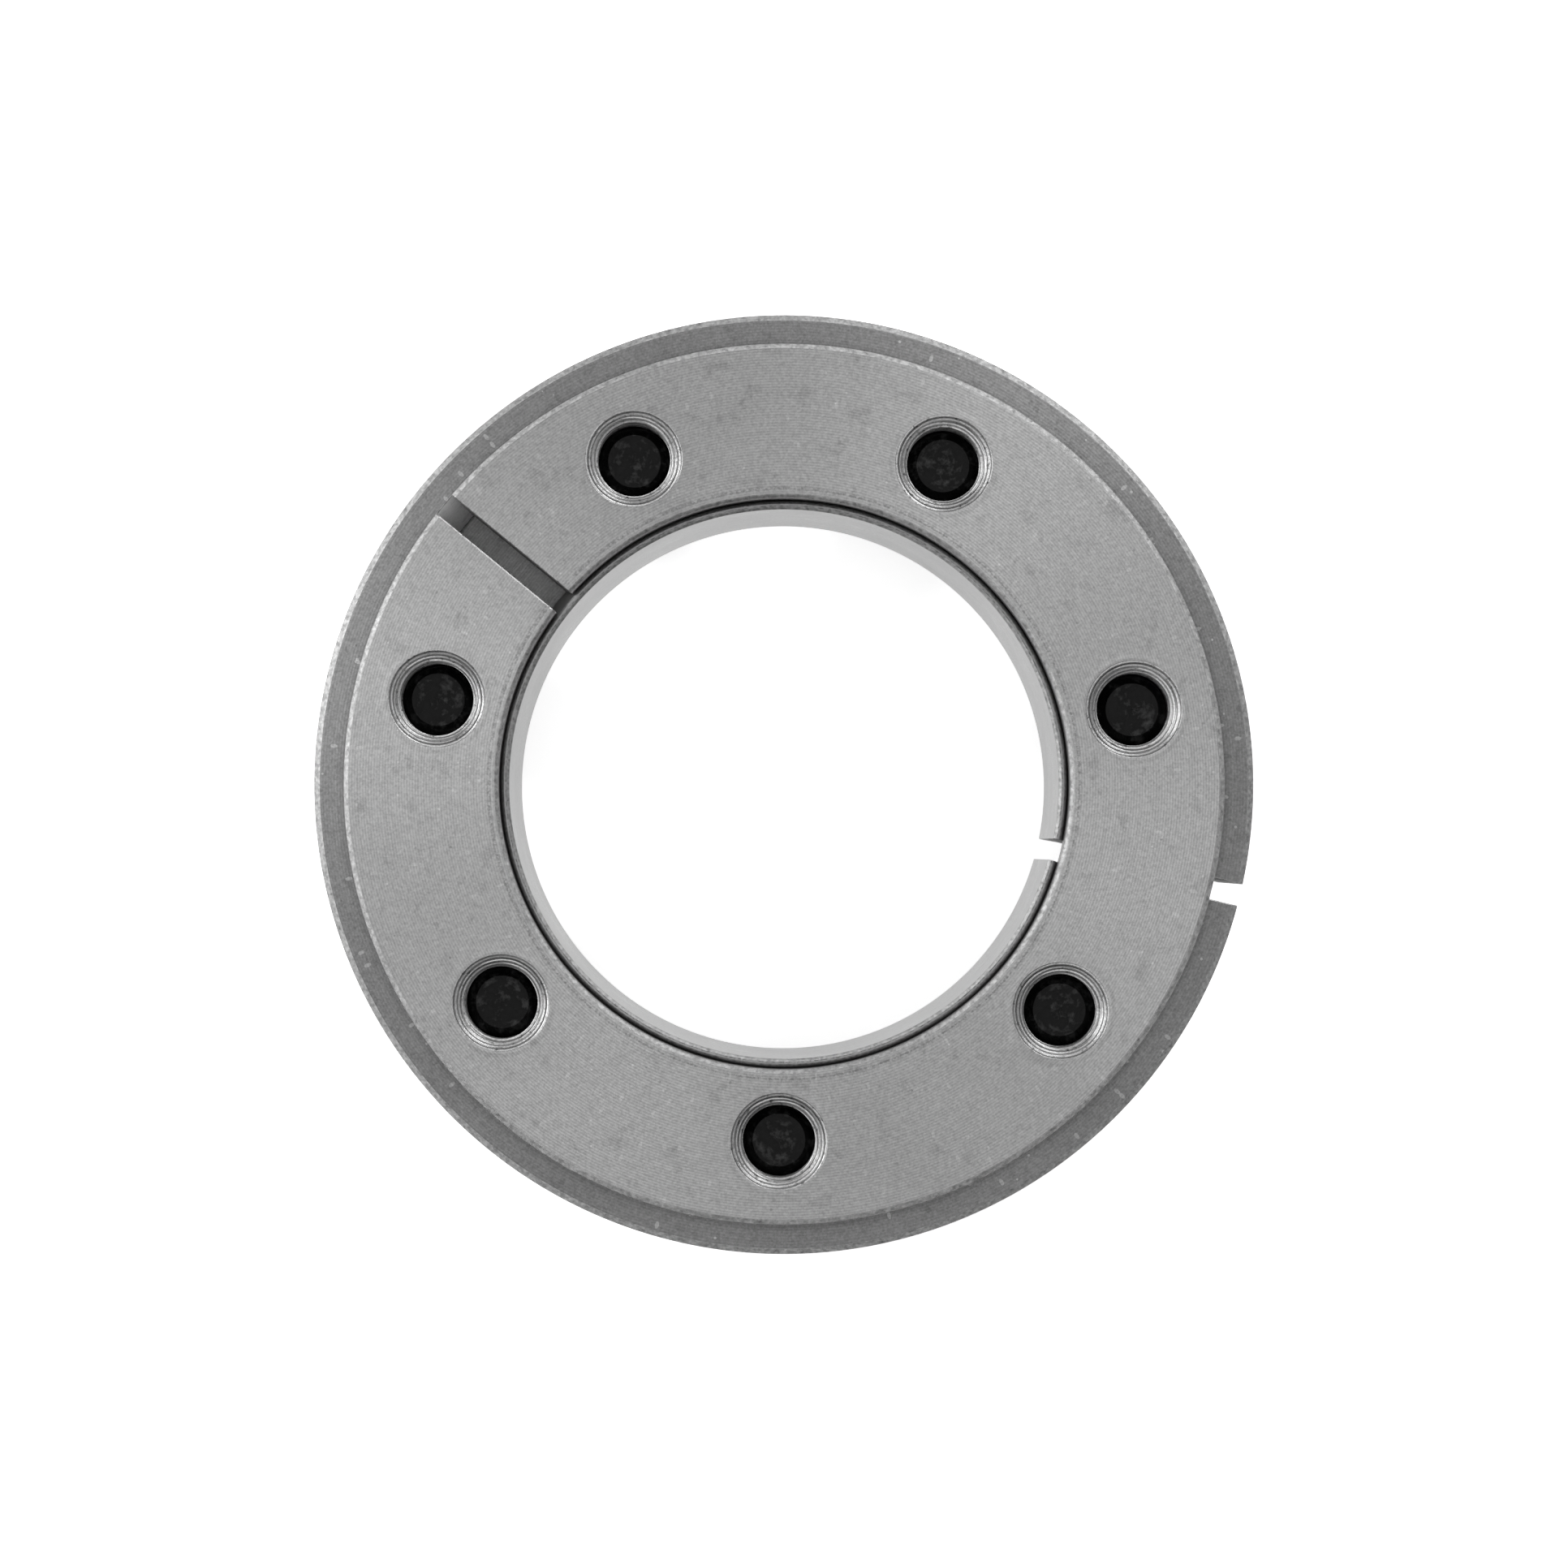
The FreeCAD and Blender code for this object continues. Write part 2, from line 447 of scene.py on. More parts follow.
@dataclass(frozen=True)
class SteelFinish:
    """Bare carbon steel, machined and wiped with oil: a satin grey metal whose marks follow the tool.

    Each group of fields is one pattern, and its comment gives the real size that its scale comes from.
    """

    name: str
    colour: str = "A0A0A0"
    metal: float = 1.0
    roughness: float = 0.40
    roughness_drop: float = 0.05
    roughness_rise: float = 0.06
    anisotropy: float = 0.0
    lay: Lay = Lay.RING

    # Scratches of the cutting edge. Real ones are a few hundredths of a millimetre apart, which is too fine
    # to show, so they are drawn 0.08 mm apart where ground and up to 0.3 mm where sawn. The depth is that of
    # the whole relief.
    mark_pitch: float = 0.14
    mark_depth: float = 0.004
    mark_contrast: float = 0.08

    # Spiral of the tool's feed: about 0.1 mm a turn in a finishing cut, which is under two pixels, so it is
    # drawn about twice as coarse. Zero draws none.
    feed_pitch: float = 0.0
    feed_contrast: float = 0.04

    # Film of oil: slow changes over about 6 mm, as a wiping cloth leaves it.
    cloud_size: float = 6.0
    cloud_contrast: float = 0.06

    # Grain of the steel: a few hundredths of a millimetre, so it is drawn three pixels wide or more. Its
    # relief is a share of the marks'.
    grain_size: float = 0.16
    grain_contrast: float = 0.16
    grain_relief: float = 0.6

    # Bright chips and dark pits, about 0.2 mm across.
    speck_spacing: float = 0.7
    speck_light: float = 0.20
    speck_dark: float = 0.22

    # Smudges of oil and dirt, 0.35 to 2 mm wide, and the noise strengths at which one starts and is full.
    smudge_size: float = 1.6
    smudge: float = 0.12
    smudge_start: float = 0.56
    smudge_full: float = 0.68

    # Scratches from handling, 0.2 mm wide and 0.5 mm long, across the tool's marks.
    nick_spacing: float = 0.8
    nick_share: float = 0.10
    nick_light: float = 0.16

    # Swell that a countersink pushes up round a hole's mouth: half a millimetre wide, and its rise over the
    # relief of the marks. Radius zero draws none.
    collar_r: float = 0.0
    collar_half: float = 0.28
    collar_rise: float = 5.0

    # Dark ring about the axis, broken into crumbs of 0.22 mm: painted shade along the inner ring's lip, and a
    # darker ring near the pressure rings' bores. Radius zero draws none.
    dark_ring_r: float = 0.0
    dark_ring_half: float = 0.22
    dark_ring_depth: float = 0.42
    dark_ring_size: float = 0.22
    dark_ring_start: float = 0.44
    dark_ring_full: float = 0.58

    # Sheen and a rough matt lobe, as a dry powdery film gives; on the cones, with a pale colour, they make a
    # painted highlight where a cone is seen almost edge-on.
    dust_and_sheen: float = 0.0

    def make(self) -> bpy.types.Material:
        """Build the material.

        Returns:
            The material, ready for a slot.
        """
        material = bpy.data.materials.new(self.name)
        tree = empty_tree(material)
        space = PatternSpace(tree, self.lay)
        marks = space.marks(self.mark_pitch)
        cloud = space.cloud(self.cloud_size)
        grain = space.cloud(self.grain_size, detail=2.0)
        feed = space.feed(self.feed_pitch) if self.feed_pitch > 0.0 else None
        base = add_node(
            tree, "ShaderNodeVectorMath", {"operation": "SCALE", 0: linear_colour(self.colour)[:3]},
            {"Scale": self._tone(space, marks, cloud, grain, feed)})
        rough = space.stretch(
            space.math("ADD", cloud, marks), SUM_LOW, SUM_HIGH,
            self.roughness - self.roughness_drop, self.roughness + self.roughness_rise)
        bump = add_node(
            tree, "ShaderNodeBump", {"Strength": 1.0, "Distance": self.mark_depth * MM},
            {"Height": self._relief(space, marks, grain, feed)})
        # Sheen and a rough matt lobe: on the cones they are part of a painted highlight.
        shader = add_node(
            tree, "ShaderNodeBsdfPrincipled",
            {"Metallic": self.metal, "Diffuse Roughness": self.dust_and_sheen, "Sheen Weight": self.dust_and_sheen,
             "Anisotropic": self.anisotropy, "Anisotropic Rotation": ACROSS_MARKS},
            {"Base Color": base.outputs[0], "Roughness": rough, "Normal": bump.outputs[0]})
        if self.anisotropy > 0.0:
            tangent = add_node(tree, "ShaderNodeTangent", {"direction_type": "RADIAL", "axis": "Z"})
            tree.links.new(tangent.outputs[0], shader.inputs["Tangent"])
        add_node(tree, "ShaderNodeOutputMaterial", links={"Surface": shader.outputs[0]})
        return material

    def _tone(
            self, space: PatternSpace, marks: Socket, cloud: Socket, grain: Socket,
            feed: Socket | None) -> Socket:
        """Work out how much lighter or darker than its colour the steel is at each place.

        Args:
            space: The coordinates that the patterns are drawn in.
            marks: The tool's marks.
            cloud: The film of oil.
            grain: The steel's grain.
            feed: The feed's spiral, if there is one.

        Returns:
            A factor on the colour.
        """
        tone = space.math(
            "MULTIPLY", space.swing(marks, self.mark_contrast), space.swing(cloud, self.cloud_contrast))
        tone = space.math("MULTIPLY", tone, space.swing(grain, self.grain_contrast))
        light = space.specks(self.speck_spacing * CHIPS.spread, CHIPS.size, CHIPS.share)
        tone = space.math("ADD", tone, space.math("MULTIPLY", light, self.speck_light))
        dark = space.specks(self.speck_spacing * PITS.spread, PITS.size, PITS.share)
        tone = space.math("SUBTRACT", tone, space.math("MULTIPLY", dark, self.speck_dark))
        nicks = space.nicks(self.nick_spacing, self.nick_share)
        tone = space.math("ADD", tone, space.math("MULTIPLY", nicks, self.nick_light))
        smudges = space.ragged_patches(self.smudge_size, self.smudge_start, self.smudge_full, 1.0, 1.0 - self.smudge)
        tone = space.math("MULTIPLY", tone, smudges)
        if feed is not None:
            spiral = space.stretch(feed, 0.0, 1.0, 1.0 - self.feed_contrast, 1.0 + self.feed_contrast)
            tone = space.math("MULTIPLY", tone, spiral)
        # Painted dark ring: shade along the inner ring's lip, and a darker broken ring near the pressure
        # rings' bores.
        if self.dark_ring_r > 0.0:
            crumbs = space.ragged_patches(self.dark_ring_size, self.dark_ring_start, self.dark_ring_full, 0.0, self.dark_ring_depth)
            dark_ring = space.math("MULTIPLY", space.collar(self.dark_ring_r, self.dark_ring_half), crumbs)
            tone = space.math("MULTIPLY", tone, space.math("SUBTRACT", 1.0, dark_ring))
        return tone

    def _relief(self, space: PatternSpace, marks: Socket, grain: Socket, feed: Socket | None) -> Socket:
        """Work out the height of the surface, in shares of the marks' depth.

        Args:
            space: The coordinates that the patterns are drawn in.
            marks: The tool's marks.
            grain: The steel's grain.
            feed: The feed's spiral, if there is one.

        Returns:
            The height's socket.
        """
        relief = space.math("ADD", marks, space.math("MULTIPLY", grain, self.grain_relief))
        if feed is not None:
            relief = space.math("ADD", relief, feed)
        if self.collar_r > 0.0:
            swell = PatternSpace(space.tree, Lay.HOLE).collar(self.collar_r, self.collar_half)
            relief = space.math("MULTIPLY_ADD", swell, self.collar_rise, relief)
        return relief


@dataclass(frozen=True)
class BlackOxideFinish:
    """Heat-treated alloy steel with a black oxide skin and a film of oil: nearly black, with a soft sheen."""

    name: str = "black_oxide_steel"
    colour: str = "070707"
    worn_colour: str = "444444"
    metal: float = 0.3
    specular: float = 0.12
    roughness: float = 0.34
    roughness_drop: float = 0.08
    roughness_rise: float = 0.12

    # Turning marks of the screw's end: 0.1 mm apart or less, drawn at 0.3 mm so that they show. They change
    # so fast along their length that they break up into arcs. Wear and relief are their shares of each.
    mark_pitch: float = 0.30
    mark_wander: float = 2.4
    mark_wear: float = 0.45
    mark_relief: float = 0.35

    # Patches where the oxide is thicker or oil has stayed, just under a millimetre wide.
    mottle_size: float = 0.9
    relief_depth: float = 0.05

    # Strengths at which grey wear starts to show and is full.
    wear_start: float = 0.74
    wear_full: float = 1.05

    def make(self) -> bpy.types.Material:
        """Build the material.

        Returns:
            The material, ready for a slot.
        """
        material = bpy.data.materials.new(self.name)
        tree = empty_tree(material)
        space = PatternSpace(tree, Lay.HOLE)
        marks = space.marks(self.mark_pitch, self.mark_wander)
        mottle = space.cloud(self.mottle_size, detail=5.0, roughness=0.65)
        wear = space.stretch(
            space.math("MULTIPLY_ADD", marks, self.mark_wear, mottle),
            self.wear_start, self.wear_full, 0.0, 1.0)
        # The Mix node's colours are its inputs 6 and 7 and its output 2.
        skin = add_node(
            tree, "ShaderNodeMix",
            {"data_type": "RGBA", 6: linear_colour(self.colour), 7: linear_colour(self.worn_colour)},
            {0: wear})
        rough = space.stretch(
            mottle, NOISE_LOW, NOISE_HIGH, self.roughness - self.roughness_drop,
            self.roughness + self.roughness_rise)
        bump = add_node(
            tree, "ShaderNodeBump", {"Strength": 1.0, "Distance": self.relief_depth * MM},
            {"Height": space.math("MULTIPLY_ADD", marks, self.mark_relief, mottle)})
        shader = add_node(
            tree, "ShaderNodeBsdfPrincipled", {"Metallic": self.metal, "Specular IOR Level": self.specular},
            {"Base Color": skin.outputs[2], "Roughness": rough, "Normal": bump.outputs[0]})
        add_node(tree, "ShaderNodeOutputMaterial", links={"Surface": shader.outputs[0]})
        return material


@dataclass(frozen=True)
class RingFinishes:
    """The finishes of one ring, in the order of its slots."""

    faced: SteelFinish
    ground: SteelFinish
    sawn: SteelFinish
    drilled: SteelFinish
    taper: SteelFinish
    tumbled: SteelFinish

    def make(self) -> list[bpy.types.Material]:
        """Build the materials in the order of the slots."""
        finishes = (self.faced, self.ground, self.sawn, self.drilled, self.taper, self.tumbled)
        return [finish.make() for finish in finishes]


@dataclass(frozen=True)
class SawCut:
    """A slit sawn through a ring along one radius: its width, and its angle in degrees from +X.

    A face whose normal points across the slit by wall_tilt or more can be one of its walls.
    """

    width: float
    angle: float
    wall_tilt: float = 0.3

    def local(self, place: Vector) -> Vector:
        """Turn a place so that the slit lies along +X."""
        return Matrix.Rotation(-math.radians(self.angle), 3, "Z") @ place

    def owns(self, face: bmesh.types.BMFace, burr: float) -> bool:
        """Say whether a face is a wall of the slit or the burr along its edge.

        Args:
            face: The face.
            burr: Width of the burr beside the wall.

        Returns:
            True for the slit's own faces.
        """
        middle = self.local(face.calc_center_median())
        across = abs(self.local(face.normal).y)
        beside = abs(middle.y) < self.width / 2.0 + burr
        return middle.x > 0.0 and across > self.wall_tilt and beside

    def world(self, place: Vector) -> Vector:
        """Turn a place back from the slit's own direction."""
        return Matrix.Rotation(math.radians(self.angle), 3, "Z") @ place


@dataclass(frozen=True)
class Thread:
    """A right-hand metric thread as one helical ridge, whose phase is fixed to height zero at +X."""

    core_r: float
    crest_r: float
    root_half: float
    pitch: float = 1.0
    flank_angle: float = 30.0
    steps: int = 48

    def rod(self, low: float, high: float) -> bmesh.types.BMesh:
        """Build a threaded rod about Z.

        Args:
            low: Height of its lower end.
            high: Height of its upper end.

        Returns:
            The rod as a closed mesh.
        """
        # The ridge starts two turns low and ends a turn high, and the planes then cut both ends square.
        flank = (self.crest_r - self.core_r) * math.tan(math.radians(self.flank_angle))
        first = (math.floor(low / self.pitch) - 2) * self.pitch
        turns = math.ceil((high - first) / self.pitch) + 1
        line = [
            (self.core_r, 0.0),
            (self.core_r, self.root_half),
            (self.crest_r, self.root_half + flank),
            (self.crest_r, self.pitch - self.root_half - flank),
            (self.core_r, self.pitch - self.root_half),
            (self.core_r, self.pitch),
        ]
        mesh = bmesh.new()
        verts = [mesh.verts.new((radius, 0.0, first + height)) for radius, height in line]
        edges = [mesh.edges.new(pair) for pair in zip(verts, verts[1:])]
        bmesh.ops.spin(
            mesh, geom=verts + edges, cent=(0, 0, 0), axis=(0, 0, 1),
            dvec=(0.0, 0.0, self.pitch / self.steps), angle=FULL_TURN * turns, steps=self.steps * turns,
            use_merge=False, use_duplicate=False)
        bmesh.ops.remove_doubles(mesh, verts=list(mesh.verts), dist=MERGE_DISTANCE)
        for height, side in ((low, -1.0), (high, 1.0)):
            bmesh.ops.bisect_plane(
                mesh, geom=list(mesh.verts) + list(mesh.edges) + list(mesh.faces),
                plane_co=(0.0, 0.0, height), plane_no=(0.0, 0.0, side), clear_outer=True)
        Shaper.close(mesh)
        return mesh


class Shaper:
    """Mesh moves that several pieces share. Meshes under work are in millimetres.

    An edge whose faces turn by more than EDGE_TURN degrees is rounded in EDGE_SEGMENTS steps.
    """

    EDGE_TURN = 12.0
    EDGE_SEGMENTS = 3

    @staticmethod
    def close(mesh: bmesh.types.BMesh) -> None:
        """Fill every open loop of a mesh and point its faces outwards.

        Args:
            mesh: The mesh, which is changed in place.
        """
        loose = [edge for edge in mesh.edges if edge.is_boundary]
        if loose:
            bmesh.ops.holes_fill(mesh, edges=loose, sides=0)
        bmesh.ops.recalc_face_normals(mesh, faces=list(mesh.faces))

    @staticmethod
    def lathe(profile: list[tuple[float, float]], steps: int) -> bmesh.types.BMesh:
        """Spin an open line that starts and ends on the axis once round Z.

        Args:
            profile: Radius and height of each point.
            steps: Segments round the axis.

        Returns:
            The turned shape as a closed mesh.
        """
        mesh = bmesh.new()
        verts = [mesh.verts.new((radius, 0.0, height)) for radius, height in profile]
        edges = [mesh.edges.new(pair) for pair in zip(verts, verts[1:])]
        bmesh.ops.spin(
            mesh, geom=verts + edges, cent=(0, 0, 0), axis=(0, 0, 1), angle=FULL_TURN, steps=steps,
            use_merge=True, use_duplicate=False)
        bmesh.ops.remove_doubles(mesh, verts=list(mesh.verts), dist=MERGE_DISTANCE)
        bmesh.ops.recalc_face_normals(mesh, faces=list(mesh.faces))
        return mesh

    @staticmethod
    def slit_ring(
            profile: list[tuple[float, float]], cut: SawCut, steps: int, edge: float) -> bmesh.types.BMesh:
        """Spin a closed profile about Z into a ring that stays open at its saw cut.

        Args:
            profile: Radius and height of each corner in turn.
            cut: The saw cut.
            steps: Segments round the ring.
            edge: Size of the rounding that tumbling leaves on every edge.

        Returns:
            The ring as a closed mesh.
        """
        mesh = bmesh.new()
        face = mesh.faces.new([mesh.verts.new((radius, 0.0, height)) for radius, height in profile])
        half_gap = math.asin(cut.width / 2.0 / min(radius for radius, height in profile))
        turn = Matrix.Rotation(math.radians(cut.angle) + half_gap, 3, "Z")
        first = list(mesh.verts)
        bmesh.ops.rotate(mesh, verts=first, cent=(0, 0, 0), matrix=turn)
        swept = bmesh.ops.spin(
            mesh, geom=first + list(mesh.edges) + [face], cent=(0, 0, 0), axis=(0, 0, 1),
            angle=FULL_TURN - 2.0 * half_gap, steps=steps, use_merge=False, use_duplicate=False)
        last = [item for item in swept["geom_last"] if isinstance(item, bmesh.types.BMVert)]
        for verts in (first, last):
            for vert in verts:
                local = cut.local(vert.co)
                offset = math.copysign(cut.width / 2.0, local.y)
                reach = math.hypot(local.x, local.y)
                vert.co = cut.world(Vector((math.sqrt(reach * reach - offset * offset), offset, local.z)))
        bmesh.ops.recalc_face_normals(mesh, faces=list(mesh.faces))
        turned = math.radians(Shaper.EDGE_TURN)
        sharp = [item for item in mesh.edges if item.calc_face_angle(0.0) > turned]
        bmesh.ops.bevel(
            mesh, geom=sharp, offset=edge, offset_type="OFFSET", segments=Shaper.EDGE_SEGMENTS, profile=0.5,
            affect="EDGES", material=-1, clamp_overlap=True)
        return mesh

    @staticmethod
    def joined(meshes: list[bmesh.types.BMesh]) -> bmesh.types.BMesh:
        """Put several meshes into one, and free them.

        Args:
            meshes: The meshes under work.

        Returns:
            The mesh that holds them all.
        """
        whole = bmesh.new()
        for mesh in meshes:
            data = settled(mesh, "part")
            whole.from_mesh(data)
            bpy.data.meshes.remove(data)
        return whole

    @staticmethod
    def carved(body: bmesh.types.BMesh, tool: bmesh.types.BMesh, how: Carving) -> bmesh.types.BMesh:
        """Join or cut two closed meshes, and free them.

        Args:
            body: The mesh that is worked on.
            tool: The mesh that is added or taken away.
            how: What is done with the tool.

        Returns:
            The new mesh.
        """
        things = [add_object("work", settled(mesh, "work")) for mesh in (body, tool)]
        cut = things[0].modifiers.new("cut", "BOOLEAN")
        cut.operation, cut.solver, cut.object = how.value, "EXACT", things[1]
        depsgraph = bpy.context.evaluated_depsgraph_get()
        result = bpy.data.meshes.new_from_object(things[0].evaluated_get(depsgraph))
        carved = bmesh.new()
        carved.from_mesh(result)
        bpy.data.meshes.remove(result)
        for thing in things:
            bpy.data.meshes.remove(thing.data)
        return carved


@dataclass
class Piece:
    """What one physical piece stands for: its CAD node, its body and the record's material slot."""

    node: str
    body: str
    slot: str

    def finish(
            self, mesh: bmesh.types.BMesh, materials: list[bpy.types.Material], crease: float = 4.0) -> None:
        """Turn a mesh in millimetres into an object that stands for the CAD node.

        Args:
            mesh: The finished mesh.
            materials: The object's materials in slot order.
            crease: Angle in degrees above which an edge stays sharp.
        """
        bmesh.ops.scale(mesh, vec=(MM, MM, MM), verts=list(mesh.verts))
        name = self.node + "_detailed"
        data = settled(mesh, name)
        data.shade_smooth()
        data.set_sharp_from_angle(angle=math.radians(crease))
        thing = add_object(name, data)
        for material in materials:
            data.materials.append(material)
        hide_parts(self.node)
        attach(thing, self.body)
        triangles = sum(len(face.vertices) - 2 for face in data.polygons)
        LOG.info("%s: %d triangles", thing.name, triangles)


@dataclass
class TaperRing:
    """Outer or inner ring of the set: a cylinder on one side, two cones that meet in a ridge on the other.

    The cylinder is the seat, on the hub or the shaft. The lip is where a cone meets an end face.
    """

    piece: Piece
    cut: SawCut
    seat_r: float
    lip_r: float
    ridge_r: float
    seat_edge: float
    lip_edge: float = 0.0
    edge: float = 0.07
    foot: float = 7.0735
    width: float = 17.0
    steps: int = 360
    seat_tilt: float = 0.05
    seat_reach: float = 0.2
    cone_tilt: float = 0.3

    def profile(self) -> list[tuple[float, float]]:
        """Work out the corners of the ring's section.

        Returns:
            Radius and height of each corner in turn.
        """
        top = self.foot + self.width
        side = math.copysign(1.0, self.lip_r - self.seat_r)
        shoulder_r = self.seat_r + side * self.seat_edge
        ridge = [(self.ridge_r, self.foot + self.width / 2.0)]
        if self.lip_edge > 0.0:
            ridge = [(self.lip_r, top - self.lip_edge)] + ridge + [(self.lip_r, self.foot + self.lip_edge)]
        return [
            (self.lip_r - side * self.lip_edge, self.foot),
            (shoulder_r, self.foot),
            (self.seat_r, self.foot + self.seat_edge),
            (self.seat_r, top - self.seat_edge),
            (shoulder_r, top),
            (self.lip_r - side * self.lip_edge, top),
        ] + ridge

    def build(self, materials: list[bpy.types.Material]) -> None:
        """Build the ring and dress it.

        Args:
            materials: The ring's materials in slot order.
        """
        mesh = Shaper.slit_ring(self.profile(), self.cut, self.steps, self.edge)
        for face in mesh.faces:
            face.material_index = self._skin(face)
        self.piece.finish(mesh, materials)

    def _skin(self, face: bmesh.types.BMFace) -> Skin:
        """Say how a face of the ring was machined.

        Args:
            face: The face.

        Returns:
            The slot of the finish that it left.
        """
        if self.cut.owns(face, BURR_SHARE * self.edge):
            return Skin.SAWN
        tilt, reach = abs(face.normal.z), face.calc_center_median().xy.length
        if tilt < self.seat_tilt and abs(reach - self.seat_r) < self.seat_reach:
            return Skin.GROUND
        if tilt < self.cone_tilt:
            return Skin.TAPER
        return Skin.TUMBLED if tilt < FLAT_TILT else Skin.FACED


@dataclass
class PressureRing:
    """Wedge-shaped ring with a circle of screw holes; up is 1 where its flat face looks up, -1 where down.

    The cones start below the flat face, at the given depths, and end in the narrow nose.
    """

    piece: Piece
    cut: SawCut
    face_z: float
    up: float
    width: float = 8.81
    rim_r: float = 30.2946
    bore_r: float = 19.65
    nose_rim_r: float = 29.2773
    nose_bore_r: float = 20.6173
    rim_cone_start: float = 1.5715
    bore_cone_start: float = 1.9274
    rim_edge: float = 0.3
    bore_edge: float = 0.24
    edge: float = 0.1
    steps: int = 360
    cone_tilt: float = 0.2
    hole_reach: float = 3.5

    def profile(self) -> list[tuple[float, float]]:
        """Work out the corners of the ring's section.

        Returns:
            Radius and height of each corner in turn.
        """
        depths = [
            (self.rim_r - self.rim_edge, 0.0),
            (self.rim_r, self.rim_edge),
            (self.rim_r, self.rim_cone_start),
            (self.nose_rim_r, self.width),
            (self.nose_bore_r, self.width),
            (self.bore_r, self.bore_cone_start),
            (self.bore_r, self.bore_edge),
            (self.bore_r + self.bore_edge, 0.0),
        ]
        return [(radius, self.face_z - self.up * depth) for radius, depth in depths]

    def build(self, tools: list[list[bmesh.types.BMesh]], materials: list[bpy.types.Material]) -> None:
        """Build the ring, cut its holes and dress it.

        Args:
            tools: For each pass of the drill or tap, the shapes that it takes out.
            materials: The ring's materials in slot order.
        """
        mesh = Shaper.slit_ring(self.profile(), self.cut, self.steps, self.edge)
        for shapes in tools:
            mesh = Shaper.carved(mesh, Shaper.joined(shapes), Carving.CUT)
        for face in mesh.faces:
            face.material_index = self._skin(face)
        self.piece.finish(mesh, materials)

    def _skin(self, face: bmesh.types.BMFace) -> Skin:
        """Say how a face of the ring was machined.

        Args:
            face: The face.

        Returns:
            The slot of the finish that it left.
        """
        if self.cut.owns(face, BURR_SHARE * self.edge):
            return Skin.SAWN
        tilt, place = abs(face.normal.z), face.calc_center_median().xy
        from_hole = min((place - hole_centre(index).xy).length for index in range(HOLE_COUNT))
        if from_hole < self.hole_reach and tilt < FLAT_TILT:
            return Skin.DRILLED
        if tilt < self.cone_tilt:
            return Skin.TAPER
        return Skin.TUMBLED if tilt < FLAT_TILT else Skin.FACED


@dataclass
class ScrewHoles:
    """Shapes that drill and tap take out of the pressure rings.

    The tap reaches a little inside the drilled hole, so that the two surfaces don't lie in one another. The
    turns are how far round, in degrees, each screw ended; its hole's thread is turned with it, so they mesh.
    """

    mouth: float = 0.8
    tapped_r: float = 2.5
    tap_inside: float = 0.04
    tap_crest_r: float = 3.06
    tap_root_half: float = 0.1
    tap_overrun: float = 0.5
    clearance_r: float = 3.3
    clearance_edge: float = 0.3
    overrun: float = 0.6
    rim: float = 0.05
    steps: int = 128
    turns: tuple[float, ...] = (17.0, 41.0, 8.0, 52.0, 33.0, 23.0, 47.0)

    def placed(self, mesh: bmesh.types.BMesh, index: int) -> bmesh.types.BMesh:
        """Turn a shape about Z as its screw ended, and move it to its hole.

        Args:
            mesh: The shape, drawn about Z.
            index: The hole's number from 0.

        Returns:
            The same mesh in its place.
        """
        turn = Matrix.Rotation(math.radians(self.turns[index]), 3, "Z")
        bmesh.ops.rotate(mesh, verts=list(mesh.verts), cent=(0, 0, 0), matrix=turn)
        bmesh.ops.translate(mesh, verts=list(mesh.verts), vec=hole_centre(index))
        return mesh

    def drills(
            self, radius: float, mouth: float, face_z: float, up: float,
            width: float) -> list[bmesh.types.BMesh]:
        """Make the seven drills that leave a hole with a countersink at the flat face.

        Args:
            radius: The hole's radius.
            mouth: How much wider the countersink is at the face.
            face_z: Height of the flat face.
            up: 1 where that face looks up and -1 where it looks down.
            width: The ring's width.

        Returns:
            The drills in their places.
        """
        # The countersink meets the face in a rounded rim, whose points are shares of the rim's size.
        depths = [
            (0.0, -self.overrun),
            (radius + mouth + 3.0 * self.rim, -self.rim),
            (radius + mouth + 0.4 * self.rim, 0.35 * self.rim),
            (radius + mouth - 0.8 * self.rim, self.rim),
            (radius + self.rim, mouth - self.rim),
            (radius, mouth + self.rim),
            (radius, width - self.clearance_edge),
            (radius + self.clearance_edge + self.overrun, width + self.overrun),
            (0.0, width + self.overrun),
        ]
        line = [(reach, face_z - up * depth) for reach, depth in depths]
        return [self.placed(Shaper.lathe(line, self.steps), index) for index in range(HOLE_COUNT)]

    def taps(self, ring: PressureRing) -> list[bmesh.types.BMesh]:
        """Make the seven taps that cut the threads through a ring whose flat face looks up.

        Args:
            ring: The ring.

        Returns:
            The taps in their places.
        """
        thread = Thread(
            core_r=self.tapped_r - self.tap_inside, crest_r=self.tap_crest_r, root_half=self.tap_root_half)
        low, high = ring.face_z - ring.width - self.tap_overrun, ring.face_z + self.tap_overrun
        return [self.placed(thread.rod(low, high), index) for index in range(HOLE_COUNT)]


